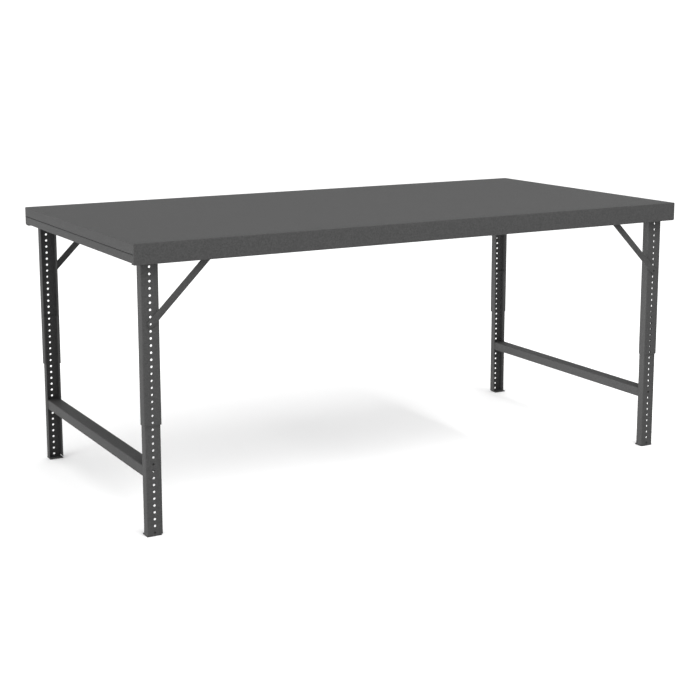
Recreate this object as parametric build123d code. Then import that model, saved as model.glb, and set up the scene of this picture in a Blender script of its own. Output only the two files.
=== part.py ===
from build123d import *
import os

# Steel work bench with a folded sheet top and four two-part telescoping legs.
#
# Axes: X runs along the length, Y across the width, Z up. The origin is on the
# floor, under the middle of the top. The bench is drawn at its greatest height.
# Each end has one leg frame (two lower legs, a stretcher and two foot plates)
# that slides up inside the upper legs, one hole at a time, to lower the top.

# ---- driving dimensions, mm -------------------------------------------------
BENCH_LENGTH = 2438.0
BENCH_WIDTH = 1219.0
BENCH_HEIGHT = 1067.0

SHEET = 2.7
CORNER_RADIUS = 3.5
BEND_RADIUS = 4.0

APRON_DEPTH = 75.0
APRON_RETURN = 32.0
END_FLANGE_DEPTH = 37.0
END_SEAM = 2.0
END_CHANNEL_RISE = 4.5
END_CHANNEL_FLANGE = 28.0
END_CHANNEL_SETBACK = 0.5

LEG_INSET_X = 72.0
LEG_INSET_Y = 40.0
HOLE_PITCH = 25.4
HOLE_RADIUS = 4.4
HOLE_EDGE_MARGIN = 3.0

UPPER_LEG_WIDTH = 67.0
UPPER_LEG_DEPTH = 35.0
UPPER_LEG_BOTTOM = 409.0
LEG_GAP = 0.4
LOWER_LEG_TOP = 609.6
LOWER_LEG_DEPTH = 31.5

FOOT_THICKNESS = 5.0
FOOT_LENGTH = 44.0
FOOT_SHORTFALL = 5.0
ANCHOR_HOLE_RADIUS = 5.5

STRETCHER_BOTTOM = 218.5
STRETCHER_HEIGHT = 38.0

RAIL_WIDTH = 90.0
RAIL_DEPTH = 25.0
RAIL_FOOT = 18.0
STIFFENER_WIDTH = 70.0
STIFFENER_SPACING = 300.0

TOP_PLATE_THICKNESS = 5.0
TOP_PLATE_LENGTH = 78.0
TOP_PLATE_BOLT_SPACING = 45.0
TOP_PLATE_BOLT_EDGE = 15.0

BRACE_WIDTH = 25.4
BRACE_THICKNESS = 4.8
BRACE_HOLE_NUMBER = 30
BRACE_TOP_HOLE_Z = 1040.0
BRACKET_WIDTH = 40.0
BRACKET_REACH = 35.0
BRACKET_SHEET = 3.0

BOLT_RADIUS = 4.0
BOLT_HEAD_RADIUS = 6.35
BOLT_HEAD_HEIGHT = 5.4
NUT_HEIGHT = 6.8
THREAD_GAP = 0.1
BRACE_BOLT_TAIL = 4.0

# ---- worked-out dimensions --------------------------------------------------
HALF_LENGTH = BENCH_LENGTH / 2
HALF_WIDTH = BENCH_WIDTH / 2
SHEET_UNDERSIDE = BENCH_HEIGHT - SHEET
APRON_BOTTOM = BENCH_HEIGHT - APRON_DEPTH

LEG_X = HALF_LENGTH - LEG_INSET_X
LEG_FACE_Y = HALF_WIDTH - LEG_INSET_Y
LOWER_FACE_Y = LEG_FACE_Y - SHEET - LEG_GAP
LOWER_LEG_WIDTH = UPPER_LEG_WIDTH - 2 * SHEET - 2 * LEG_GAP
LOWER_LEG_INNER_WIDTH = LOWER_LEG_WIDTH - 2 * SHEET

RAIL_BOTTOM = SHEET_UNDERSIDE - RAIL_DEPTH
UPPER_LEG_TOP = RAIL_BOTTOM - TOP_PLATE_THICKNESS
FIRST_HOLE_Z = HOLE_PITCH / 2
BRACE_HOLE_Z = FIRST_HOLE_Z + BRACE_HOLE_NUMBER * HOLE_PITCH
BRACE_RUN = BRACE_TOP_HOLE_Z - BRACE_HOLE_Z
TOP_BOLT_Y = LEG_FACE_Y - TOP_PLATE_LENGTH + TOP_PLATE_BOLT_EDGE

# The four corners: name, side along X, side along Y (front is -Y).
CORNERS = (
    ("front_left", -1, -1),
    ("front_right", 1, -1),
    ("rear_left", -1, 1),
    ("rear_right", 1, 1),
)


def block(x_low, x_high, y_low, y_high, z_low, z_high):
    """A box given by its faces."""
    size = (x_high - x_low, y_high - y_low, z_high - z_low)
    middle = ((x_low + x_high) / 2, (y_low + y_high) / 2, (z_low + z_high) / 2)
    return Pos(*middle) * Box(*size)


def channel(width, depth, height, bend_radius):
    """A U channel standing on z = 0, its web on y = 0, its flanges towards +Y."""
    outline = Pos(0, depth / 2) * Rectangle(width, depth)
    outline = fillet(outline.vertices().group_by(Axis.Y)[0], bend_radius)
    hollow = Pos(0, SHEET + depth / 2) * Rectangle(width - 2 * SHEET, depth)
    hollow = fillet(hollow.vertices().group_by(Axis.Y)[0], bend_radius - SHEET)
    return extrude(outline - hollow, height)


def hat_section(width, length):
    """A hat channel along Y: two feet on z = 0 and a web RAIL_DEPTH below them."""
    half = width / 2
    body = block(-half, half, -length / 2, length / 2, -RAIL_DEPTH, SHEET - RAIL_DEPTH)
    for side in (-1, 1):
        inner = side * (half - SHEET)
        outer = side * half
        foot_end = side * (half + RAIL_FOOT)
        wall_x = sorted((inner, outer))
        foot_x = sorted((inner, foot_end))
        body += block(*wall_x, -length / 2, length / 2, -RAIL_DEPTH, 0)
        body += block(*foot_x, -length / 2, length / 2, -SHEET, 0)
    return body


def holes_along_y(radius, z_values, depth):
    """Drills along Y through the web at y = 0, one at each height."""
    drill = Rot(90, 0, 0) * Cylinder(radius, depth)
    return [Pos(0, 0, z) * drill for z in z_values]


def hole_heights(z_low, z_high):
    """The heights of the whole holes of the leg pattern between two heights."""
    margin = HOLE_RADIUS + HOLE_EDGE_MARGIN
    count = int(BENCH_HEIGHT / HOLE_PITCH)
    heights = [FIRST_HOLE_Z + number * HOLE_PITCH for number in range(count)]
    return [z for z in heights if z_low + margin < z < z_high - margin]


def turned_to(side_y, part):
    """A part drawn for the front (-Y), turned half a turn for the rear."""
    return part if side_y < 0 else Rot(0, 0, 180) * part


def hexagon(radius, height):
    """A hexagonal prism standing on z = 0; radius is half the width over flats."""
    return extrude(RegularPolygon(radius, 6, major_radius=False), height)


# ---- top --------------------------------------------------------------------
def make_top_pan():
    """The folded top: sheet, two deep aprons with return flanges, two end flanges."""
    shell = block(-HALF_LENGTH, HALF_LENGTH, -HALF_WIDTH, HALF_WIDTH, APRON_BOTTOM, BENCH_HEIGHT)
    shell = fillet(shell.edges().group_by(Axis.Z)[-1], CORNER_RADIUS)
    hollow = block(
        SHEET - HALF_LENGTH, HALF_LENGTH - SHEET,
        SHEET - HALF_WIDTH, HALF_WIDTH - SHEET,
        APRON_BOTTOM - SHEET, SHEET_UNDERSIDE,
    )
    pan = shell - hollow
    end_cut_top = BENCH_HEIGHT - END_FLANGE_DEPTH
    for side in (-1, 1):
        end_x = sorted((side * (HALF_LENGTH - 2 * SHEET), side * (HALF_LENGTH + SHEET)))
        inner_y = HALF_WIDTH - SHEET
        pan -= block(*end_x, -inner_y, inner_y, APRON_BOTTOM - SHEET, end_cut_top)
        return_y = sorted((side * inner_y, side * (HALF_WIDTH - APRON_RETURN)))
        pan += block(-HALF_LENGTH, HALF_LENGTH, *return_y, APRON_BOTTOM, APRON_BOTTOM + SHEET)
    return pan


def make_end_channel(side):
    """The channel that closes one short end below the end flange."""
    z_high = BENCH_HEIGHT - END_FLANGE_DEPTH - END_SEAM
    z_low = APRON_BOTTOM + END_CHANNEL_RISE
    height = z_high - z_low
    section = channel(height, END_CHANNEL_FLANGE, BENCH_WIDTH - 2 * SHEET, BEND_RADIUS)
    lying = Pos(SHEET - HALF_WIDTH, 0, (z_low + z_high) / 2) * Rot(0, 90, 0) * section
    face_x = side * (HALF_LENGTH - END_CHANNEL_SETBACK)
    return Pos(face_x, 0, 0) * Rot(0, 0, 90 * side) * lying


def make_leg_rail(side):
    """The hat section across the top that carries the two legs of one end."""
    rail = hat_section(RAIL_WIDTH, BENCH_WIDTH - 2 * SHEET)
    rail = Pos(side * LEG_X, 0, SHEET_UNDERSIDE) * rail
    return rail - top_bolt_drills(side)


def make_stiffener(y):
    """One of the hat sections that run lengthwise between the leg rails."""
    length = 2 * (LEG_X - RAIL_WIDTH / 2 - RAIL_FOOT)
    return Pos(0, y, SHEET_UNDERSIDE) * Rot(0, 0, 90) * hat_section(STIFFENER_WIDTH, length)


# ---- upper legs and what holds them to the top ------------------------------
def top_bolt_places(side_x):
    """Where the bolts go up through the leg plates of one end."""
    across = TOP_PLATE_BOLT_SPACING / 2
    return [
        (side_x * LEG_X + offset, side_y * TOP_BOLT_Y)
        for side_y in (-1, 1)
        for offset in (-across, across)
    ]


def top_bolt_drills(side_x):
    """Clearance holes for the bolts of one end."""
    drill = Cylinder(HOLE_RADIUS, RAIL_DEPTH + TOP_PLATE_THICKNESS + 2 * SHEET)
    return [Pos(x, y, RAIL_BOTTOM) * drill for x, y in top_bolt_places(side_x)]


def make_leg_top_plate(side_x, side_y):
    """The plate welded across the top of an upper leg."""
    x = side_x * LEG_X
    half = UPPER_LEG_WIDTH / 2
    y_values = sorted((side_y * LEG_FACE_Y, side_y * (LEG_FACE_Y - TOP_PLATE_LENGTH)))
    plate = block(x - half, x + half, *y_values, UPPER_LEG_TOP, RAIL_BOTTOM)
    return plate - top_bolt_drills(side_x)


def make_upper_leg(side_x, side_y):
    """The fixed outer channel of one leg, with its row of holes."""
    leg = Pos(0, 0, UPPER_LEG_BOTTOM) * channel(
        UPPER_LEG_WIDTH, UPPER_LEG_DEPTH, UPPER_LEG_TOP - UPPER_LEG_BOTTOM, BEND_RADIUS
    )
    leg -= holes_along_y(HOLE_RADIUS, hole_heights(UPPER_LEG_BOTTOM, UPPER_LEG_TOP), 4 * SHEET)
    return Pos(side_x * LEG_X, side_y * LEG_FACE_Y, 0) * turned_to(side_y, leg)


def make_brace(side_x, side_y):
    """The flat 45 degree bar from the leg's face up into the top."""
    slope_length = BRACE_RUN * 2 ** 0.5
    bar = SlotCenterToCenter(slope_length, BRACE_WIDTH)
    bar -= Pos(slope_length / 2, 0) * Circle(HOLE_RADIUS)
    bar -= Pos(-slope_length / 2, 0) * Circle(HOLE_RADIUS)
    bar = extrude(Rot(0, 0, 45) * bar, BRACE_THICKNESS / 2, both=True)
    bar = Rot(90, 0, 0) * bar
    if side_x > 0:
        bar = Rot(0, 0, 180) * bar
    middle_x = side_x * (LEG_X - BRACE_RUN / 2)
    middle_y = side_y * (LEG_FACE_Y + BRACE_THICKNESS / 2)
    return Pos(middle_x, middle_y, (BRACE_HOLE_Z + BRACE_TOP_HOLE_Z) / 2) * bar


def brace_top_x(side_x):
    """The place along X of a brace's upper hole."""
    return side_x * (LEG_X - BRACE_RUN)


def make_brace_bracket(side_x, side_y):
    """The angle under the top sheet that takes a brace's upper end."""
    x = brace_top_x(side_x)
    half = BRACKET_WIDTH / 2
    ear_y = sorted((side_y * LEG_FACE_Y, side_y * (LEG_FACE_Y - BRACKET_SHEET)))
    flange_y = sorted((side_y * LEG_FACE_Y, side_y * (LEG_FACE_Y - BRACKET_REACH)))
    ear = block(x - half, x + half, *ear_y, BRACE_TOP_HOLE_Z - BRACE_WIDTH / 2, SHEET_UNDERSIDE)
    flange = block(x - half, x + half, *flange_y, SHEET_UNDERSIDE - BRACKET_SHEET, SHEET_UNDERSIDE)
    drill = Rot(90, 0, 0) * Cylinder(HOLE_RADIUS, 4 * BRACKET_SHEET)
    return ear + flange - Pos(x, side_y * LEG_FACE_Y, BRACE_TOP_HOLE_Z) * drill


# ---- fasteners --------------------------------------------------------------
def make_top_bolts():
    """Hexagon bolts that hold the leg plates to the rails, heads below."""
    shank_length = TOP_PLATE_THICKNESS + SHEET + NUT_HEIGHT
    head = Pos(0, 0, -BOLT_HEAD_HEIGHT) * hexagon(BOLT_HEAD_RADIUS, BOLT_HEAD_HEIGHT)
    shank = Pos(0, 0, shank_length / 2) * Cylinder(BOLT_RADIUS, shank_length)
    bolt = Pos(0, 0, UPPER_LEG_TOP) * (head + shank)
    return [Pos(x, y, 0) * bolt for side in (-1, 1) for x, y in top_bolt_places(side)]


def make_top_nuts():
    """Weld nuts inside the rails."""
    nut = hexagon(BOLT_HEAD_RADIUS, NUT_HEIGHT) - Cylinder(BOLT_RADIUS + THREAD_GAP, 3 * NUT_HEIGHT)
    nut = Pos(0, 0, RAIL_BOTTOM + SHEET) * nut
    return [Pos(x, y, 0) * nut for side in (-1, 1) for x, y in top_bolt_places(side)]


def make_brace_bolts():
    """Bolts through the braces' upper ends, heads on the apron side."""
    grip = BRACE_THICKNESS + BRACKET_SHEET
    length = grip + NUT_HEIGHT + BRACE_BOLT_TAIL
    head = hexagon(BOLT_HEAD_RADIUS, BOLT_HEAD_HEIGHT)
    shank = Pos(0, 0, -length / 2) * Cylinder(BOLT_RADIUS, length)
    bolt = Rot(90, 0, 0) * (head + shank)
    return place_at_brace_tops(bolt, LEG_FACE_Y + BRACE_THICKNESS)


def make_brace_nuts():
    """Nuts on the inner side of the brace brackets."""
    nut = hexagon(BOLT_HEAD_RADIUS, NUT_HEIGHT) - Cylinder(BOLT_RADIUS + THREAD_GAP, 3 * NUT_HEIGHT)
    return place_at_brace_tops(Rot(-90, 0, 0) * nut, LEG_FACE_Y - BRACKET_SHEET)


def place_at_brace_tops(part, y):
    """Four copies of a part drawn for the front, one at each brace's upper hole."""
    return [
        Pos(brace_top_x(side_x), side_y * y, BRACE_TOP_HOLE_Z) * turned_to(side_y, part)
        for _, side_x, side_y in CORNERS
    ]


# ---- sliding leg frames -----------------------------------------------------
def make_lower_leg(side_x, side_y):
    """The inner channel of one leg, which slides inside the upper leg."""
    leg = Pos(0, 0, FOOT_THICKNESS) * channel(
        LOWER_LEG_WIDTH, LOWER_LEG_DEPTH, LOWER_LEG_TOP - FOOT_THICKNESS, BEND_RADIUS
    )
    leg -= holes_along_y(HOLE_RADIUS, hole_heights(FOOT_THICKNESS, LOWER_LEG_TOP), 4 * SHEET)
    return Pos(side_x * LEG_X, side_y * LOWER_FACE_Y, 0) * turned_to(side_y, leg)


def make_foot_plate(side_x, side_y):
    """The plate under a lower leg, flush with its outer side and its face."""
    outer_x = LEG_X + LOWER_LEG_WIDTH / 2
    inner_x = LEG_X - LOWER_LEG_WIDTH / 2 + FOOT_SHORTFALL
    x_values = sorted((side_x * outer_x, side_x * inner_x))
    y_values = sorted((side_y * LOWER_FACE_Y, side_y * (LOWER_FACE_Y - FOOT_LENGTH)))
    plate = block(*x_values, *y_values, 0, FOOT_THICKNESS)
    hole_y = side_y * (LOWER_FACE_Y - (SHEET + FOOT_LENGTH) / 2)
    drill = Cylinder(ANCHOR_HOLE_RADIUS, 4 * FOOT_THICKNESS)
    return plate - Pos(side_x * LEG_X, hole_y, 0) * drill


def make_stretcher(side_x):
    """The inverted channel that ties the two lower legs of one end."""
    length = 2 * (LOWER_FACE_Y - BEND_RADIUS)
    section = channel(LOWER_LEG_INNER_WIDTH, STRETCHER_HEIGHT, length, BEND_RADIUS)
    lying = Rot(-90, 0, 0) * section
    return Pos(side_x * LEG_X, -length / 2, STRETCHER_BOTTOM + STRETCHER_HEIGHT) * lying


# ---- all pieces, one file each ----------------------------------------------
def make_all_parts():
    """Every piece of the bench by name."""
    parts = {
        "top_pan": make_top_pan(),
        "left_end_channel": make_end_channel(-1),
        "right_end_channel": make_end_channel(1),
        "left_leg_rail": make_leg_rail(-1),
        "right_leg_rail": make_leg_rail(1),
        "front_stiffener": make_stiffener(-STIFFENER_SPACING),
        "center_stiffener": make_stiffener(0),
        "rear_stiffener": make_stiffener(STIFFENER_SPACING),
        "left_stretcher": make_stretcher(-1),
        "right_stretcher": make_stretcher(1),
        "leg_mount_bolts": Compound(make_top_bolts()),
        "leg_mount_nuts": Compound(make_top_nuts()),
        "brace_bolts": Compound(make_brace_bolts()),
        "brace_nuts": Compound(make_brace_nuts()),
    }
    for name, side_x, side_y in CORNERS:
        parts[name + "_leg_top_plate"] = make_leg_top_plate(side_x, side_y)
        parts[name + "_upper_leg"] = make_upper_leg(side_x, side_y)
        parts[name + "_lower_leg"] = make_lower_leg(side_x, side_y)
        parts[name + "_foot_plate"] = make_foot_plate(side_x, side_y)
        parts[name + "_brace"] = make_brace(side_x, side_y)
        parts[name + "_brace_bracket"] = make_brace_bracket(side_x, side_y)
    return parts


os.makedirs("parts", exist_ok=True)
for part_name, shape in make_all_parts().items():
    export_step(shape, f"parts/{part_name}.step")
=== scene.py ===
import math

import bmesh
import bpy
from mathutils import Matrix, Vector


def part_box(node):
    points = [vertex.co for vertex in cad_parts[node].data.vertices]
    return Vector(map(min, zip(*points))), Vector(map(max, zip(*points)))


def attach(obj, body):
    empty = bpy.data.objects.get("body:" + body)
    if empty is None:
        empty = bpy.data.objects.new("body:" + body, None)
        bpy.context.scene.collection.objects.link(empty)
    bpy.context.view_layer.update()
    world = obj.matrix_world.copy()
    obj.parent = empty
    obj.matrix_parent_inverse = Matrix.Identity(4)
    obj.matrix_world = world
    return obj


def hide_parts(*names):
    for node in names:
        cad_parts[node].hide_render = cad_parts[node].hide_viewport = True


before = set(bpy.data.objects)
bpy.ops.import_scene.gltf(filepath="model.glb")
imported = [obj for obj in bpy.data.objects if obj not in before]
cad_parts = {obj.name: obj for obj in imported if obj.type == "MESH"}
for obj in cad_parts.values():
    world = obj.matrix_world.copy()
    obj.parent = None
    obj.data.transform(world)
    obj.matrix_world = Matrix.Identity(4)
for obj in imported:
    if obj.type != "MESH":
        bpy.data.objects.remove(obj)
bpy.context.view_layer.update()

# Steel work bench in textured dark grey powder coat. Every sheet-metal piece is
# folded here from its outer skin: bends are arcs, holes are real, cut edges are
# broken. Places and outer sizes are read from the frame; metres throughout.

TOP_BODY = "top_frame"

# ---- sheet metal ------------------------------------------------------------
SHEET = 0.0027
BEND_RADIUS = 0.004
INNER_BEND_RADIUS = BEND_RADIUS - SHEET
PAN_RADIUS = 0.0035
EDGE_BREAK = 0.00035
BREAK_ANGLE = 50.0
SHARP_ANGLE = 35.0
BEND_STEPS = 6
HOLE_PITCH = 0.0254
HOLE_RADIUS = 0.0044
HOLE_EDGE_MARGIN = 0.003
ANCHOR_RADIUS = 0.0055
BRACKET_SHEET = 0.003
BRACE_RUNS = 8
MOUNT_BOLT_OFFSET = 0.0225
MOUNT_BOLT_EDGE = 0.015
PAN_RETURN = 0.032
PAN_DIP = 0.0004
PAN_COLUMNS = 48
PAN_ROWS = 24
STIFFENER_SPACING = 0.3
END_FLANGE_DEPTH = 0.037
RAIL_FOOT = 0.018

# A cell is the square of a skin's grid that makes way for a hole and the faces
# round it. Each CELL size is half the square's side.
CELL_STEPS = 6
PLATE_CELL = 0.010
BRACKET_CELL = 0.012
ANCHOR_CELL = 0.011

# Points nearer than SAME_POINT are one point, edges under TINY_EDGE are removed,
# and a place FAR away tells which side of a skin is its outside.
SAME_POINT = 1e-6
TINY_EDGE = 1e-7
FAR = 1e3

CORNERS = [
    (f"{y_name}_{x_name}", side_x, side_y)
    for y_name, side_y in (("front", -1), ("rear", 1))
    for x_name, side_x in (("left", -1), ("right", 1))
]
STIFFENERS = ("front_stiffener", "center_stiffener", "rear_stiffener")


def end_name(side_x):
    """The word for one end of the bench in the names of its pieces."""
    return "left" if side_x < 0 else "right"


def leg_body(side_x):
    """The sliding body at one end of the bench."""
    return end_name(side_x) + "_leg_frame"


def outer_inner_y(low, high, side_y):
    """Y of a box's outer and inner face, at the front (-1) or the rear (1)."""
    return (low.y, high.y) if side_y < 0 else (high.y, low.y)


# ---- materials --------------------------------------------------------------
class NodeMaterial:
    """A Principled material with helpers for the few nodes that it needs."""

    def __init__(self, name):
        self.material = bpy.data.materials.new(name)
        self.material.use_nodes = True
        self.tree = self.material.node_tree
        self.shader = self.tree.nodes["Principled BSDF"]
        place = self.tree.nodes.new("ShaderNodeTexCoord")
        self.place = place.outputs["Object"]

    def set_values(self, **values):
        """Sets plain values on the shader."""
        for name, value in values.items():
            self.shader.inputs[name.replace("_", " ")].default_value = value

    def node(self, kind, **inputs):
        """A new node with plain values on its inputs."""
        made = self.tree.nodes.new(kind)
        for name, value in inputs.items():
            made.inputs[name.replace("_", " ")].default_value = value
        return made

    def link(self, output, target):
        """Feeds an output into an input."""
        self.tree.links.new(output, target)

    def noise(self, scale, detail=2.0, roughness=0.5):
        """Noise fixed to the piece, about 1 / scale metres from grain to grain."""
        made = self.node("ShaderNodeTexNoise", Scale=scale, Detail=detail, Roughness=roughness)
        self.link(self.place, made.inputs["Vector"])
        return made.outputs["Fac"]

    def blend(self, source, low, high, from_low=0.0, from_high=1.0):
        """A value from low to high, as the source goes from from_low to from_high."""
        made = self.node(
            "ShaderNodeMapRange",
            From_Min=from_low, From_Max=from_high, To_Min=low, To_Max=high,
        )
        self.link(source, made.inputs["Value"])
        return made.outputs["Result"]

    def product(self, first, second):
        """Two varying values multiplied."""
        made = self.tree.nodes.new("ShaderNodeMath")
        made.operation = "MULTIPLY"
        self.link(first, made.inputs[0])
        self.link(second, made.inputs[1])
        return made.outputs["Value"]

    def tint(self, colour, factor):
        """A colour times a factor that varies over the surface."""
        made = self.tree.nodes.new("ShaderNodeVectorMath")
        made.operation = "SCALE"
        made.inputs[0].default_value = colour
        self.link(factor, made.inputs["Scale"])
        self.link(made.outputs["Vector"], self.shader.inputs["Base Color"])

    def bump(self, heights):
        """Stacks bumps, each given as (height, distance, strength)."""
        normal = None
        for height, distance, strength in heights:
            made = self.node("ShaderNodeBump", Strength=strength, Distance=distance)
            self.link(height, made.inputs["Height"])
            if normal is not None:
                self.link(normal, made.inputs["Normal"])
            normal = made.outputs["Normal"]
        self.link(normal, self.shader.inputs["Normal"])


PAINT_GREY = (0.0405, 0.0405, 0.0405)
ZINC_GREY = (0.56, 0.57, 0.58)
FLOOR_WHITE = (0.9, 0.9, 0.9)
NOISE_RANGE = (0.3, 0.7)  # nearly all of a noise's values lie in here


def make_powder_coat():
    """Dark grey textured powder coat: a fine grain, soft mottling, orange peel."""
    coat = NodeMaterial("powder_coat_paint")
    coat.set_values(Metallic=0.0, IOR=1.5, Specular_IOR_Level=0.10)
    grain = coat.noise(900.0, detail=2.0, roughness=0.6)
    mottle = coat.noise(170.0, detail=3.0, roughness=0.7)
    cloud = coat.noise(5.0, detail=3.0)
    blotches = coat.blend(mottle, 0.78, 1.22, *NOISE_RANGE)
    specks = coat.blend(grain, 0.84, 1.16, *NOISE_RANGE)
    drift = coat.blend(cloud, 0.985, 1.015)
    coat.tint(PAINT_GREY, coat.product(coat.product(blotches, specks), drift))
    coat.link(coat.blend(mottle, 0.65, 0.78, *NOISE_RANGE), coat.shader.inputs["Roughness"])
    coat.bump([(mottle, 0.0008, 0.4), (grain, 0.0003, 0.5)])
    return coat.material


def make_zinc():
    """Zinc-plated steel: pale, slightly cloudy, with a fine grain."""
    zinc = NodeMaterial("zinc_plate")
    zinc.set_values(Metallic=1.0)
    cloud = zinc.noise(160.0, detail=4.0, roughness=0.6)
    grain = zinc.noise(2200.0, detail=2.0)
    zinc.tint(ZINC_GREY, zinc.blend(cloud, 0.78, 1.08))
    zinc.link(zinc.blend(cloud, 0.26, 0.46), zinc.shader.inputs["Roughness"])
    zinc.bump([(grain, 0.0001, 0.3)])
    return zinc.material


def make_floor_paint():
    """Pale studio floor with a barely visible unevenness."""
    floor = NodeMaterial("studio_floor")
    floor.set_values(Roughness=0.85)
    cloud = floor.noise(1.2, detail=4.0)
    floor.tint(FLOOR_WHITE, floor.blend(cloud, 0.99, 1.01))
    floor.bump([(floor.noise(60.0, detail=3.0), 0.0005, 0.1)])
    return floor.material


PAINT = make_powder_coat()
ZINC = make_zinc()


# ---- mesh helpers -----------------------------------------------------------
def arc_path(corners, steps=BEND_STEPS):
    """A polyline through (x, y, radius) corners, with each inner corner an arc."""
    points = [Vector(corners[0][:2])]
    for before, corner, after in zip(corners, corners[1:], corners[2:]):
        here = Vector(corner[:2])
        back = (Vector(before[:2]) - here).normalized()
        ahead = (Vector(after[:2]) - here).normalized()
        half_angle = back.angle(ahead) / 2
        reach = corner[2] / math.tan(half_angle)
        middle = here + (back + ahead).normalized() * corner[2] / math.sin(half_angle)
        start = here + back * reach - middle
        turn = start.angle_signed(here + ahead * reach - middle)
        for step in range(steps + 1):
            swing = Matrix.Rotation(-turn * step / steps, 2)
            points.append(middle + swing @ start)
    points.append(Vector(corners[-1][:2]))
    return points


def patch(mesh, place, us, vs, skip=()):
    """A grid of quads: place(u, v) gives a point, skip holds (column, row) left open."""
    grid = [[mesh.verts.new(place(u, v)) for v in vs] for u in us]
    for column in range(len(us) - 1):
        for row in range(len(vs) - 1):
            if (column, row) not in skip:
                mesh.faces.new((
                    grid[column][row], grid[column + 1][row],
                    grid[column + 1][row + 1], grid[column][row + 1],
                ))
    return grid


def even_steps(low, high, count):
    """count + 1 even values from low to high."""
    return [low + (high - low) * step / count for step in range(count + 1)]


def cell_steps(centre, below, above):
    """Values across a hole's square cell that stand at even angles round the hole."""
    half = CELL_STEPS // 2
    spread = [math.tan(angle) for angle in even_steps(0, math.pi / 4, half)]
    lower = [centre - below * part for part in reversed(spread)]
    upper = [centre + above * part for part in spread[1:]]
    return lower + upper


def cell_line(low, high, centres, reach):
    """Grid values from low to high with a hole's cell round each centre.

    The second result is the index at which each cell starts.
    """
    values = [low]
    starts = []
    for centre in centres:
        steps = cell_steps(centre, min(reach, centre - low), min(reach, high - centre))
        if steps[0] - values[-1] < SAME_POINT:
            steps = steps[1:]
            starts.append(len(values) - 1)
        else:
            starts.append(len(values))
        values += steps
    if high - values[-1] > SAME_POINT:
        values.append(high)
    return values, starts


def cells_to_skip(column_starts, row_starts):
    """The grid's quads that make way for holes."""
    return {
        (column + a, row + b)
        for column in column_starts
        for row in row_starts
        for a in range(CELL_STEPS)
        for b in range(CELL_STEPS)
    }


def ring_hole(mesh, border, centre, radius, across, up):
    """Fills a closed border down to a round hole in the plane of across and up."""
    ring = []
    for vertex in border:
        out = vertex.co - centre
        heading = math.atan2(out.dot(up), out.dot(across))
        rim = math.cos(heading) * across + math.sin(heading) * up
        ring.append(mesh.verts.new(centre + radius * rim))
    count = len(border)
    for step in range(count):
        after = (step + 1) % count
        mesh.faces.new((border[step], border[after], ring[after], ring[step]))


def punch(mesh, grid, column, row, radius):
    """A round hole in the cell of a grid that starts at a column and row."""
    last_column = column + CELL_STEPS
    last_row = row + CELL_STEPS
    middle = CELL_STEPS // 2
    centre = grid[column + middle][row + middle].co.copy()
    across = (grid[last_column][row + middle].co - centre).normalized()
    up = (grid[column + middle][last_row].co - centre).normalized()
    border = [grid[step][row] for step in range(column, last_column)]
    border += [grid[last_column][step] for step in range(row, last_row)]
    border += [grid[step][last_row] for step in range(last_column, column, -1)]
    border += [grid[column][step] for step in range(last_row, row, -1)]
    ring_hole(mesh, border, centre, radius, across, up)


def punched_patch(mesh, place, us, vs, column_starts, row_starts, radius):
    """A grid with a round hole in each of its cells."""
    grid = patch(mesh, place, us, vs, cells_to_skip(column_starts, row_starts))
    for column in column_starts:
        for row in row_starts:
            punch(mesh, grid, column, row, radius)


def face_outwards(mesh, outside):
    """Merges the patches and turns them so that the face nearest a point faces it."""
    for vertex in [vertex for vertex in mesh.verts if not vertex.link_faces]:
        mesh.verts.remove(vertex)
    bmesh.ops.remove_doubles(mesh, verts=mesh.verts, dist=SAME_POINT)
    bmesh.ops.recalc_face_normals(mesh, faces=mesh.faces)
    nearest = min(mesh.faces, key=lambda face: (face.calc_center_median() - outside).length)
    if nearest.normal.dot(outside - nearest.calc_center_median()) < 0:
        bmesh.ops.reverse_faces(mesh, faces=mesh.faces)


def to_object(mesh, name, material):
    """A new object from a bmesh, in the scene."""
    data = bpy.data.meshes.new(name)
    mesh.to_mesh(data)
    mesh.free()
    data.materials.append(material)
    made = bpy.data.objects.new(name, data)
    bpy.context.scene.collection.objects.link(made)
    return made


def apply_modifiers(piece):
    """Makes the modifiers' result the piece's own mesh."""
    graph = bpy.context.evaluated_depsgraph_get()
    finished = bpy.data.meshes.new_from_object(piece.evaluated_get(graph))
    piece.modifiers.clear()
    piece.data = finished


def break_edges(piece):
    """Bevels every sharp edge of a piece a little."""
    bevel = piece.modifiers.new("broken_edges", "BEVEL")
    bevel.width = EDGE_BREAK
    bevel.segments = 2
    bevel.limit_method = "ANGLE"
    bevel.angle_limit = math.radians(BREAK_ANGLE)
    bevel.use_clamp_overlap = True


def shade(piece):
    """Smooth shading, kept sharp across edges that turn more than SHARP_ANGLE."""
    for polygon in piece.data.polygons:
        polygon.use_smooth = True
    piece.data.set_sharp_from_angle(angle=math.radians(SHARP_ANGLE))


def finish_piece(piece, body, stands_for=()):
    """Shades a piece, hides the CAD nodes that it stands for and lets it ride."""
    shade(piece)
    if stands_for:
        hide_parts(*stands_for)
    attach(piece, body)


def sheet_piece(mesh, node, body, thickness=SHEET, outside=Vector((0, 0, FAR))):
    """Thickens an outer skin inwards into sheet, breaks its edges and places it."""
    face_outwards(mesh, outside)
    piece = to_object(mesh, node + "_sheet", PAINT)
    solid = piece.modifiers.new("thickness", "SOLIDIFY")
    solid.thickness = thickness
    solid.offset = -1.0
    solid.use_even_offset = True
    break_edges(piece)
    apply_modifiers(piece)
    finish_piece(piece, body, stands_for=[node])


# ---- the folded top ---------------------------------------------------------
def quarter_turn():
    """The angles of a quarter bend."""
    return even_steps(0, math.pi / 2, BEND_STEPS)


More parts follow.
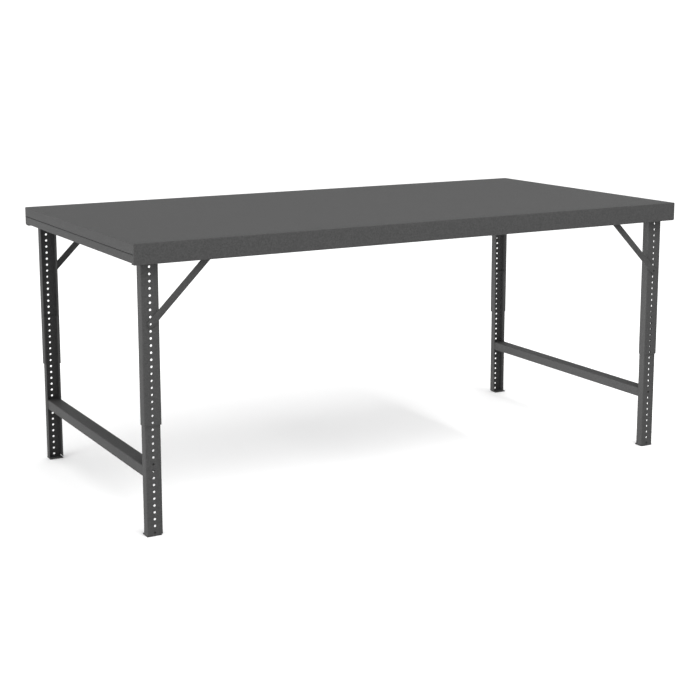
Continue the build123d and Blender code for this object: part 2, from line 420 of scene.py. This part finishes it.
def add_pan_apron(mesh, side_y, core, low, high, columns):
    """The rounded front or rear edge of the pan, its apron and the return flange."""
    core_y, core_z = core[1:]
    bend_z = low.z + PAN_RADIUS

    def top_edge(x, turn):
        reach = core_y + PAN_RADIUS * math.sin(turn)
        return Vector((x, side_y * reach, core_z + PAN_RADIUS * math.cos(turn)))

    def bottom_bend(x, turn):
        reach = core_y + PAN_RADIUS * math.cos(turn)
        return Vector((x, side_y * reach, bend_z - PAN_RADIUS * math.sin(turn)))

    apron_z = [core_z, high.z - END_FLANGE_DEPTH, bend_z]
    return_y = [side_y * core_y, side_y * (high.y - PAN_RETURN)]
    patch(mesh, top_edge, columns, quarter_turn())
    patch(mesh, lambda x, z: Vector((x, side_y * high.y, z)), columns, apron_z)
    patch(mesh, bottom_bend, columns, quarter_turn())
    patch(mesh, lambda x, y: Vector((x, y, low.z)), columns, return_y)


def add_pan_end(mesh, side_x, core, high, rows):
    """The rounded left or right edge of the pan and its end flange."""
    core_x = core[0]
    core_z = core[2]

    def top_edge(y, turn):
        reach = core_x + PAN_RADIUS * math.sin(turn)
        return Vector((side_x * reach, y, core_z + PAN_RADIUS * math.cos(turn)))

    flange_z = [core_z, high.z - END_FLANGE_DEPTH]
    patch(mesh, top_edge, rows, quarter_turn())
    patch(mesh, lambda y, z: Vector((side_x * high.x, y, z)), rows, flange_z)


def add_pan_corner(mesh, side_x, side_y, core, low, high):
    """A ball corner of the pan, with the rounded wall below it."""
    core_x, core_y, core_z = core

    def heading_out(heading):
        return Vector((side_x * math.cos(heading), side_y * math.sin(heading), 0))

    def ball(heading, turn):
        out = heading_out(heading) * math.sin(turn) + Vector((0, 0, math.cos(turn)))
        return Vector((side_x * core_x, side_y * core_y, core_z)) + PAN_RADIUS * out

    def wall(heading, z):
        return Vector((side_x * core_x, side_y * core_y, z)) + PAN_RADIUS * heading_out(heading)

    patch(mesh, ball, quarter_turn(), quarter_turn())
    patch(mesh, wall, quarter_turn(), [core_z, high.z - END_FLANGE_DEPTH, low.z + PAN_RADIUS])


def make_top_pan():
    """The top as one skin: sheet, rounded edges and corners, aprons, end flanges."""
    low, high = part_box("top_pan")
    # The centre of the ball at the rear right corner; the others mirror it.
    core = (high.x - PAN_RADIUS, high.y - PAN_RADIUS, high.z - PAN_RADIUS)
    columns = even_steps(-core[0], core[0], PAN_COLUMNS)
    rows = even_steps(-core[1], core[1], PAN_ROWS)

    def dipped(x, y):
        """The sheet sags by up to PAN_DIP between the pieces under it."""
        along = math.sin(math.pi * (x + core[0]) / (2 * core[0]))
        across = math.sin(math.pi * y / STIFFENER_SPACING) * math.cos(math.pi * y / (2 * core[1]))
        return Vector((x, y, high.z - PAN_DIP * (along * across) ** 2))

    mesh = bmesh.new()
    patch(mesh, dipped, columns, rows)
    for side in (-1, 1):
        add_pan_apron(mesh, side, core, low, high, columns)
        add_pan_end(mesh, side, core, high, rows)
        for other in (-1, 1):
            add_pan_corner(mesh, side, other, core, low, high)
    bmesh.ops.dissolve_degenerate(mesh, dist=TINY_EDGE, edges=mesh.edges)
    sheet_piece(mesh, "top_pan", TOP_BODY)


def make_end_channel(side_x):
    """The channel below one end flange, its web flush with the pan's end."""
    node = end_name(side_x) + "_end_channel"
    low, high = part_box(node)
    face_x, tip_x = (low.x, high.x) if side_x < 0 else (high.x, low.x)
    path = arc_path([
        (tip_x, high.z), (face_x, high.z, BEND_RADIUS),
        (face_x, low.z, BEND_RADIUS), (tip_x, low.z),
    ])
    mesh = bmesh.new()
    patch(mesh, lambda y, point: Vector((point.x, y, point.y)), [low.y, high.y], path)
    sheet_piece(mesh, node, TOP_BODY, outside=Vector((side_x * FAR, 0, 0)))


def hat_path(half_width, depth):
    """The lower skin of a hat section: feet on top, web at the bottom."""
    foot_tip = half_width + RAIL_FOOT
    right = [
        (half_width, -depth, BEND_RADIUS),
        (half_width, -SHEET, INNER_BEND_RADIUS),
        (foot_tip, -SHEET),
    ]
    left = [(-corner[0], *corner[1:]) for corner in reversed(right)]
    return arc_path(left + right)


def make_stiffener(node):
    """A hat section under the top sheet, lengthwise."""
    low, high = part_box(node)
    middle_y = (low.y + high.y) / 2
    path = hat_path((high.y - low.y) / 2 - RAIL_FOOT, high.z - low.z)
    mesh = bmesh.new()
    patch(mesh, lambda x, point: Vector((x, middle_y + point.x, high.z + point.y)), [low.x, high.x], path)
    sheet_piece(mesh, node, TOP_BODY, outside=Vector((0, middle_y, -FAR)))


def make_leg_rail(side_x):
    """The hat section across the top at one end, its web drilled for the leg bolts."""
    end = end_name(side_x)
    node = end + "_leg_rail"
    low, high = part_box(node)
    middle_x = (low.x + high.x) / 2
    half_width = (high.x - low.x) / 2 - RAIL_FOOT
    path = hat_path(half_width, high.z - low.z)
    flat = half_width - BEND_RADIUS
    web, columns = cell_line(-flat, flat, [-MOUNT_BOLT_OFFSET, MOUNT_BOLT_OFFSET], PLATE_CELL)
    before = [point for point in path if point.x < -flat - SAME_POINT]
    after = [point for point in path if point.x > flat + SAME_POINT]
    path = before + [Vector((x, low.z - high.z)) for x in web] + after
    columns = [len(before) + column for column in columns]
    hole_ys = [mount_bolt_y(f"front_{end}", -1), mount_bolt_y(f"rear_{end}", 1)]
    runs, rows = cell_line(low.y, high.y, hole_ys, PLATE_CELL)

    def place(point, y):
        return Vector((middle_x + point.x, y, high.z + point.y))

    mesh = bmesh.new()
    punched_patch(mesh, place, path, runs, columns, rows, HOLE_RADIUS)
    sheet_piece(mesh, node, TOP_BODY, outside=Vector((middle_x, 0, -FAR)))


# ---- legs -------------------------------------------------------------------
def hole_heights(low_z, high_z):
    """The centres of the leg pattern's whole holes between two heights."""
    margin = HOLE_RADIUS + HOLE_EDGE_MARGIN
    centres = [(number + 0.5) * HOLE_PITCH for number in range(int(high_z / HOLE_PITCH) + 1)]
    return [z for z in centres if low_z + margin < z < high_z - margin]


def make_leg(node, body, side_y):
    """A U channel, web facing out to the front or rear, with its row of holes."""
    low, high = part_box(node)
    middle_x = (low.x + high.x) / 2
    half = (high.x - low.x) / 2
    face_y, tip_y = outer_inner_y(low, high, side_y)
    flange = arc_path([(-half, tip_y), (-half, face_y, BEND_RADIUS), (0, face_y)])[:-1]
    flat = half - BEND_RADIUS
    web, columns = cell_line(-flat, flat, [0.0], HOLE_PITCH / 2)
    path = flange[:-1] + [Vector((x, face_y)) for x in web]
    path += [Vector((-point.x, point.y)) for point in reversed(flange[:-1])]
    columns = [len(flange) - 1 + column for column in columns]
    levels, rows = cell_line(low.z, high.z, hole_heights(low.z, high.z), HOLE_PITCH / 2)
    mesh = bmesh.new()
    punched_patch(
        mesh, lambda point, z: Vector((middle_x + point.x, point.y, z)),
        path, levels, columns, rows, HOLE_RADIUS,
    )
    sheet_piece(mesh, node, body, outside=Vector((middle_x, side_y * FAR, high.z)))


def make_stretcher(side_x):
    """The inverted channel between the two lower legs of one end."""
    node = end_name(side_x) + "_stretcher"
    low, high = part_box(node)
    path = arc_path([
        (low.x, low.z), (low.x, high.z, BEND_RADIUS),
        (high.x, high.z, BEND_RADIUS), (high.x, low.z),
    ])
    mesh = bmesh.new()
    patch(mesh, lambda y, point: Vector((point.x, y, point.y)), [low.y, high.y], path)
    sheet_piece(mesh, node, leg_body(side_x))


# ---- plates -----------------------------------------------------------------
def mount_bolt_y(name, side_y):
    """Y of the two bolts that hold one corner's leg."""
    low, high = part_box(name + "_leg_top_plate")
    return outer_inner_y(low, high, side_y)[1] + side_y * MOUNT_BOLT_EDGE


def make_plate(node, body, hole_xs, hole_y, reach, radius):
    """A flat plate with a row of holes along X."""
    low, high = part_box(node)
    xs, columns = cell_line(low.x, high.x, hole_xs, reach)
    ys, rows = cell_line(low.y, high.y, [hole_y], reach)
    mesh = bmesh.new()
    punched_patch(mesh, lambda x, y: Vector((x, y, high.z)), xs, ys, columns, rows, radius)
    sheet_piece(mesh, node, body, thickness=high.z - low.z)


def make_foot_plate(name, side_x, side_y):
    """The plate under a lower leg, with its anchor hole between the flanges."""
    node = name + "_foot_plate"
    low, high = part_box(node)
    leg_low, leg_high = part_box(name + "_lower_leg")
    hole_y = (low.y + high.y - side_y * SHEET) / 2
    make_plate(node, leg_body(side_x), [(leg_low.x + leg_high.x) / 2], hole_y, ANCHOR_CELL, ANCHOR_RADIUS)


def make_leg_top_plate(name, side_y):
    """The plate across the top of an upper leg, drilled for its two bolts."""
    node = name + "_leg_top_plate"
    low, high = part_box(node)
    middle_x = (low.x + high.x) / 2
    hole_xs = [middle_x - MOUNT_BOLT_OFFSET, middle_x + MOUNT_BOLT_OFFSET]
    make_plate(node, TOP_BODY, hole_xs, mount_bolt_y(name, side_y), PLATE_CELL, HOLE_RADIUS)


# ---- braces -----------------------------------------------------------------
def make_brace(name, side_x, side_y):
    """The flat bar at 45 degrees with round ends, a hole in each."""
    node = name + "_brace"
    low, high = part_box(node)
    face_y = outer_inner_y(low, high, side_y)[0]
    radius = HOLE_PITCH / 2
    outer_x, inner_x = (high.x, low.x) if side_x > 0 else (low.x, high.x)
    lower = Vector((outer_x - side_x * radius, face_y, low.z + radius))
    upper = Vector((inner_x + side_x * radius, face_y, high.z - radius))
    along = (upper - lower).normalized()
    across = along.cross(Vector((0, side_y, 0)))
    steps = cell_steps(0.0, radius, radius)
    # Round the hole, half a square towards the bar and half a circle at the tip.
    end_border = [(radius, step) for step in steps]
    end_border += [(step, radius) for step in reversed(steps[len(steps) // 2:-1])]
    end_border += [
        (radius * math.cos(heading), radius * math.sin(heading))
        for heading in even_steps(math.pi / 2, 3 * math.pi / 2, 2 * CELL_STEPS)[1:]
    ]
    end_border += [(step, -radius) for step in steps[len(steps) // 2 + 1:-1]]
    mesh = bmesh.new()
    for hole, inward in ((lower, along), (upper, -along)):
        border = [mesh.verts.new(hole + a * inward + b * across) for a, b in end_border]
        ring_hole(mesh, border, hole, HOLE_RADIUS, inward, across)
    length = (upper - lower).length
    patch(
        mesh, lambda run, step: lower + run * along + step * across,
        even_steps(radius, length - radius, BRACE_RUNS), steps,
    )
    sheet_piece(mesh, node, TOP_BODY, thickness=high.y - low.y, outside=Vector((0, side_y * FAR, 0)))


def make_brace_bracket(name, side_y):
    """The folded angle under the top sheet that takes a brace's upper end."""
    node = name + "_brace_bracket"
    low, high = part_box(node)
    ear_y, tip_y = outer_inner_y(low, high, side_y)
    hole_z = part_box(name + "_brace")[1].z - HOLE_PITCH / 2
    ear, rows = cell_line(low.z, high.z - BEND_RADIUS, [hole_z], BRACKET_CELL)
    path = [Vector((ear_y, z)) for z in ear]
    path += arc_path([(ear_y, low.z), (ear_y, high.z, BEND_RADIUS), (tip_y, high.z)])[2:]
    xs, columns = cell_line(low.x, high.x, [(low.x + high.x) / 2], BRACKET_CELL)
    outside = Vector((0, side_y * FAR, FAR))
    mesh = bmesh.new()
    punched_patch(mesh, lambda x, point: Vector((x, point.x, point.y)), xs, path, columns, rows, HOLE_RADIUS)
    sheet_piece(mesh, node, TOP_BODY, thickness=BRACKET_SHEET, outside=outside)


# ---- fasteners --------------------------------------------------------------
# 5/16-18 hexagon bolts and nuts, half an inch across the flats.
ROUND_STEPS = 36
FLATS_RADIUS = 0.00635
CHAMFER_RADIUS = 0.0060
CHAMFER_SLOPE = math.tan(math.radians(30))
THREAD_RADIUS = 0.0040
THREAD_PITCH = 0.00141
THREAD_DEPTH = 0.0006
THREAD_ROWS = 4  # rows per pitch
BORE_RADIUS = 0.0041
BORE_CHAMFER = 0.0006
BRACE_BOLT_LENGTH = 0.0186
BRACE_NUT_HEIGHT = 0.0068


def hex_radius(turn):
    """Distance from the axis to a hexagon's side, with a corner at turn 0."""
    return FLATS_RADIUS / math.cos(turn % (math.pi / 3) - math.pi / 6)


def turned_rows(mesh, seat, rows, closed=False):
    """Joins rows round an axis; each row gives (radius, height) for a turn.

    A closed shape joins its last row to its first, and any other is capped.
    """
    turns = even_steps(0, 2 * math.pi, ROUND_STEPS)[:-1]
    rings = []
    for row in rows:
        ring = []
        for turn in turns:
            radius, height = row(turn)
            point = Vector((radius * math.cos(turn), radius * math.sin(turn), height))
            ring.append(mesh.verts.new(seat @ point))
        rings.append(ring)
    pairs = list(zip(rings, rings[1:]))
    if closed:
        pairs.append((rings[-1], rings[0]))
    else:
        mesh.faces.new(rings[0])
        mesh.faces.new(rings[-1])
    for first, second in pairs:
        for step in range(ROUND_STEPS):
            after = (step + 1) % ROUND_STEPS
            mesh.faces.new((first[step], first[after], second[after], second[step]))


def plain_row(radius, height):
    """A plain circle."""
    return lambda turn: (radius, height)


def chamfered_row(height, sign):
    """The edge where a hexagon's sides meet its end chamfer."""
    def row(turn):
        radius = hex_radius(turn)
        return radius, height - sign * (radius - CHAMFER_RADIUS) * CHAMFER_SLOPE
    return row


def thread_row(height, tip):
    """One cross-section of a thread, which tapers off at the tip."""
    def row(turn):
        phase = (height / THREAD_PITCH + turn / (2 * math.pi)) % 1.0
        groove = THREAD_DEPTH * (1 - abs(2 * phase - 1))
        lead_in = max(0.0, THREAD_PITCH - abs(height - tip))
        return THREAD_RADIUS - max(groove, lead_in), height
    return row


def add_bolt(mesh, seat, head_height, length):
    """A hexagon bolt: the head stands on +Z of the seat, the thread runs to -Z."""
    rows = [plain_row(CHAMFER_RADIUS, head_height), chamfered_row(head_height, 1)]
    rows += [lambda turn: (hex_radius(turn), 0.0), plain_row(THREAD_RADIUS, 0.0)]
    count = round(THREAD_ROWS * length / THREAD_PITCH)
    rows += [thread_row(-length * step / count, -length) for step in range(1, count + 1)]
    turned_rows(mesh, seat, rows)


def add_nut(mesh, seat, height):
    """A hexagon nut chamfered at both ends, standing on the seat."""
    turned_rows(mesh, seat, [
        plain_row(CHAMFER_RADIUS, 0.0),
        chamfered_row(0.0, -1),
        chamfered_row(height, 1),
        plain_row(CHAMFER_RADIUS, height),
        plain_row(BORE_RADIUS + BORE_CHAMFER, height),
        plain_row(BORE_RADIUS, height - BORE_CHAMFER),
        plain_row(BORE_RADIUS, BORE_CHAMFER),
        plain_row(BORE_RADIUS + BORE_CHAMFER, 0.0),
    ], closed=True)


def finish_fasteners(mesh, node):
    """Places a group of like fasteners as one piece."""
    bmesh.ops.recalc_face_normals(mesh, faces=mesh.faces)
    piece = to_object(mesh, node + "_turned", ZINC)
    finish_piece(piece, TOP_BODY, [node])


def make_mount_fasteners():
    """Bolts up through the leg plates into weld nuts inside the rails."""
    bolts_low, bolts_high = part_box("leg_mount_bolts")
    nuts_low, nuts_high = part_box("leg_mount_nuts")
    bolts = bmesh.new()
    nuts = bmesh.new()
    for name, side_x, side_y in CORNERS:
        low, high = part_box(name + "_leg_top_plate")
        for offset in (-MOUNT_BOLT_OFFSET, MOUNT_BOLT_OFFSET):
            place = Vector(((low.x + high.x) / 2 + offset, mount_bolt_y(name, side_y), low.z))
            seat = Matrix.Translation(place) @ Matrix.Rotation(math.pi, 4, "X")
            add_bolt(bolts, seat, low.z - bolts_low.z, bolts_high.z - low.z)
            place.z = nuts_low.z
            add_nut(nuts, Matrix.Translation(place), nuts_high.z - nuts_low.z)
    finish_fasteners(bolts, "leg_mount_bolts")
    finish_fasteners(nuts, "leg_mount_nuts")


def make_brace_fasteners():
    """Bolts through the braces' upper ends, nuts behind the brackets."""
    bolts_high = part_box("brace_bolts")[1]
    nuts_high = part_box("brace_nuts")[1]
    bolts = bmesh.new()
    nuts = bmesh.new()
    for name, side_x, side_y in CORNERS:
        low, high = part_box(name + "_brace")
        bracket_low, bracket_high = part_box(name + "_brace_bracket")
        x = (bracket_low.x + bracket_high.x) / 2
        outer_y = max(abs(low.y), abs(high.y))
        facing = Matrix.Rotation(-side_y * math.pi / 2, 4, "X")
        place = Vector((x, side_y * outer_y, high.z - HOLE_PITCH / 2))
        add_bolt(bolts, Matrix.Translation(place) @ facing, bolts_high.y - outer_y, BRACE_BOLT_LENGTH)
        place.y = side_y * (nuts_high.y - BRACE_NUT_HEIGHT)
        add_nut(nuts, Matrix.Translation(place) @ facing, BRACE_NUT_HEIGHT)
    finish_fasteners(bolts, "brace_bolts")
    finish_fasteners(nuts, "brace_nuts")


# ---- welds ------------------------------------------------------------------
# A bead ripples once in RIPPLE_STEPS of its steps, and tapers over TAPER_STEPS
# at both ends.
WELD_RADIUS = 0.0021
WELD_STEP = 0.0007
WELD_SIDES = 7
FEWEST_WELD_STEPS = 6
RIPPLE_DEPTH = 0.1
RIPPLE_STEPS = 2.6
TAPER_START = 0.7
TAPER_STEPS = 3
STITCH_LENGTH = 0.025
STITCH_SPACING = 0.15
BRACE_WELD = (0.004, 0.027)  # from and to, measured up the bar from its lower hole
BAR_WELD_LIFT = 0.003


def add_weld(mesh, start, end):
    """A rippled bead of weld metal, half sunk into the corner that it fills."""
    along = (end - start).normalized()
    across = along.orthogonal().normalized()
    up = along.cross(across)
    count = max(FEWEST_WELD_STEPS, round((end - start).length / WELD_STEP))
    rings = []
    for step in range(count + 1):
        ripple = 1 + RIPPLE_DEPTH * math.sin(step * 2 * math.pi / RIPPLE_STEPS)
        from_tip = min(step, count - step) + TAPER_START
        taper = math.sin(math.pi / 2 * min(1.0, from_tip / TAPER_STEPS))
        radius = WELD_RADIUS * ripple * taper
        middle = start.lerp(end, step / count)
        rings.append([
            mesh.verts.new(middle + radius * (math.cos(turn) * across + math.sin(turn) * up))
            for turn in even_steps(0, 2 * math.pi, WELD_SIDES)[:-1]
        ])
    mesh.faces.new(rings[0])
    mesh.faces.new(rings[-1])
    for first, second in zip(rings, rings[1:]):
        for side in range(WELD_SIDES):
            after = (side + 1) % WELD_SIDES
            mesh.faces.new((first[side], first[after], second[after], second[side]))


def add_stitches(mesh, start, end, shift=0.0):
    """Short welds at even spacing along a line."""
    length = (end - start).length
    count = int((length - STITCH_LENGTH) / STITCH_SPACING)
    first = (length - count * STITCH_SPACING) / 2 + shift
    for number in range(count + 1):
        middle = first + number * STITCH_SPACING
        near = max(0.0, middle - STITCH_LENGTH / 2) / length
        far = min(length, middle + STITCH_LENGTH / 2) / length
        add_weld(mesh, start.lerp(end, near), start.lerp(end, far))


def weld_feet(mesh, node, along_x):
    """Stitches along both foot edges of a hat section."""
    low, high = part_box(node)
    z = high.z - SHEET / 2
    for number in (0, 1):
        shift = STITCH_SPACING / 4 * (1 - 2 * number)
        if along_x:
            y = (low.y, high.y)[number]
            add_stitches(mesh, Vector((low.x, y, z)), Vector((high.x, y, z)), shift)
        else:
            x = (low.x, high.x)[number]
            add_stitches(mesh, Vector((x, low.y, z)), Vector((x, high.y, z)), shift)


def weld_web(mesh, low, high, face_y, side_y, z):
    """A weld along the inner face of a leg's web, at its top or bottom end."""
    y = face_y - side_y * SHEET
    add_weld(mesh, Vector((low.x + BEND_RADIUS, y, z)), Vector((high.x - BEND_RADIUS, y, z)))


def weld_upper_leg(mesh, name, side_y):
    """Welds under the plate across the top of a leg, inside both flanges and the web."""
    low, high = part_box(name + "_upper_leg")
    face_y, tip_y = outer_inner_y(low, high, side_y)
    inner_y = face_y - side_y * (SHEET + INNER_BEND_RADIUS)
    for x in (low.x + SHEET, high.x - SHEET):
        add_weld(mesh, Vector((x, tip_y, high.z)), Vector((x, inner_y, high.z)))
    weld_web(mesh, low, high, face_y, side_y, high.z)


def weld_bracket(mesh, name, side_y):
    """Welds along both edges of a bracket, under the top sheet."""
    low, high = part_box(name + "_brace_bracket")
    outer_y, inner_y = outer_inner_y(low, high, side_y)
    ends = sorted((outer_y - side_y * BEND_RADIUS, inner_y))
    z = high.z - SHEET / 2
    for x in (low.x, high.x):
        add_weld(mesh, Vector((x, ends[0], z)), Vector((x, ends[1], z)))


def weld_brace(mesh, name, side_x, side_y):
    """Welds along both edges of a brace's lower end, on the face of the leg."""
    leg_low, leg_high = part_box(name + "_upper_leg")
    face_y = outer_inner_y(leg_low, leg_high, side_y)[0]
    low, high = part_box(name + "_brace")
    radius = HOLE_PITCH / 2
    inward = Vector((-side_x, 0, 1)).normalized()
    across = Vector((side_x, 0, 1)).normalized() * radius
    foot = Vector(((high.x if side_x > 0 else low.x) - side_x * radius, face_y, low.z + radius))
    for edge in (foot + across, foot - across):
        add_weld(mesh, edge + inward * BRACE_WELD[0], edge + inward * BRACE_WELD[1])


def weld_lower_leg(mesh, name, side_x, side_y):
    """Welds of a lower leg to the stretcher's end and to its foot plate."""
    low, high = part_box(name + "_lower_leg")
    bar_low, bar_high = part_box(end_name(side_x) + "_stretcher")
    face_y, tip_y = outer_inner_y(low, high, side_y)
    for x in (bar_low.x, bar_high.x):
        start = Vector((x, tip_y, bar_low.z + BAR_WELD_LIFT))
        add_weld(mesh, start, Vector((x, tip_y, bar_high.z - BEND_RADIUS)))
    weld_web(mesh, low, high, face_y, side_y, low.z)
    outer_x = (high.x - SHEET) if side_x > 0 else (low.x + SHEET)
    add_weld(mesh, Vector((outer_x, tip_y, low.z)), Vector((outer_x, face_y - side_y * BEND_RADIUS, low.z)))


def make_welds():
    """All the weld metal of each body, as one piece per body."""
    top = bmesh.new()
    for side in (-1, 1):
        weld_feet(top, end_name(side) + "_leg_rail", along_x=False)
    for node in STIFFENERS:
        weld_feet(top, node, along_x=True)
    legs = {leg_body(side): bmesh.new() for side in (-1, 1)}
    for name, side_x, side_y in CORNERS:
        weld_upper_leg(top, name, side_y)
        weld_bracket(top, name, side_y)
        weld_brace(top, name, side_x, side_y)
        weld_lower_leg(legs[leg_body(side_x)], name, side_x, side_y)
    for body, mesh in [(TOP_BODY, top)] + list(legs.items()):
        bmesh.ops.recalc_face_normals(mesh, faces=mesh.faces)
        finish_piece(to_object(mesh, body + "_welds", PAINT), body)


# ---- build ------------------------------------------------------------------
make_top_pan()
for side in (-1, 1):
    make_end_channel(side)
    make_leg_rail(side)
    make_stretcher(side)
for node in STIFFENERS:
    make_stiffener(node)
for name, side_x, side_y in CORNERS:
    make_leg(name + "_upper_leg", TOP_BODY, side_y)
    make_leg(name + "_lower_leg", leg_body(side_x), side_y)
    make_foot_plate(name, side_x, side_y)
    make_leg_top_plate(name, side_y)
    make_brace(name, side_x, side_y)
    make_brace_bracket(name, side_y)
make_mount_fasteners()
make_brace_fasteners()
make_welds()


# ---- studio -----------------------------------------------------------------
FLOOR_REACH = 60.0

# Angles in degrees: the heading turns from +Y towards +X, the pitch is down from level.
CAMERA_PLACE = (-2.969, -5.148, 1.774)
CAMERA_HEADING = 29.81
CAMERA_PITCH = 9.80
CAMERA_LENS = 73.43
CAMERA_SHIFT = -0.10

WORLD_STRENGTH = 1.24

# Each softbox: name, place, target, width, height in metres, power in watts.
SOFTBOXES = [
    ("key_left", (-18.0, -3.0, 2.1), (0, 0, 0.5), 10.0, 4.0, 3250.0),
    ("top_front", (0.5, -4.0, 6.0), (0, 0, 1.0), 5.0, 3.0, 279.0),
    ("fill_under_top", (0.2, 0, 0.35), (1.2, 0, 1.35), 1.0, 0.3, 14.0),
]


def make_floor():
    """A floor so wide that its edge can't be told from the background."""
    mesh = bmesh.new()
    reach = [-FLOOR_REACH, FLOOR_REACH]
    patch(mesh, lambda x, y: Vector((x, y, 0)), reach, reach)
    face_outwards(mesh, Vector((0, 0, FAR)))
    to_object(mesh, "studio_floor", make_floor_paint())


def make_camera():
    """The camera, from the front left and a little above the top."""
    data = bpy.data.cameras.new("camera")
    data.lens = CAMERA_LENS
    data.shift_y = CAMERA_SHIFT
    camera = bpy.data.objects.new("camera", data)
    camera.location = CAMERA_PLACE
    camera.rotation_euler = (math.radians(90 - CAMERA_PITCH), 0, math.radians(-CAMERA_HEADING))
    bpy.context.scene.collection.objects.link(camera)
    bpy.context.scene.camera = camera


def make_softbox(name, place, target, width, height, power):
    """A rectangular area light at a place, facing a target, itself out of sight."""
    data = bpy.data.lights.new(name, "AREA")
    data.shape = "RECTANGLE"
    data.size = width
    data.size_y = height
    data.energy = power
    light = bpy.data.objects.new(name, data)
    light.location = place
    aim = Vector(target) - Vector(place)
    light.rotation_euler = aim.to_track_quat("-Z", "Y").to_euler()
    light.visible_camera = False
    bpy.context.scene.collection.objects.link(light)


def make_world():
    """Even white light from all round."""
    world = bpy.data.worlds.new("studio_air")
    world.use_nodes = True
    background = world.node_tree.nodes["Background"]
    background.inputs["Color"].default_value = (1, 1, 1, 1)
    background.inputs["Strength"].default_value = WORLD_STRENGTH
    bpy.context.scene.world = world


make_floor()
make_world()
for softbox in SOFTBOXES:
    make_softbox(*softbox)
make_camera()
bpy.context.scene.view_settings.view_transform = "Standard"
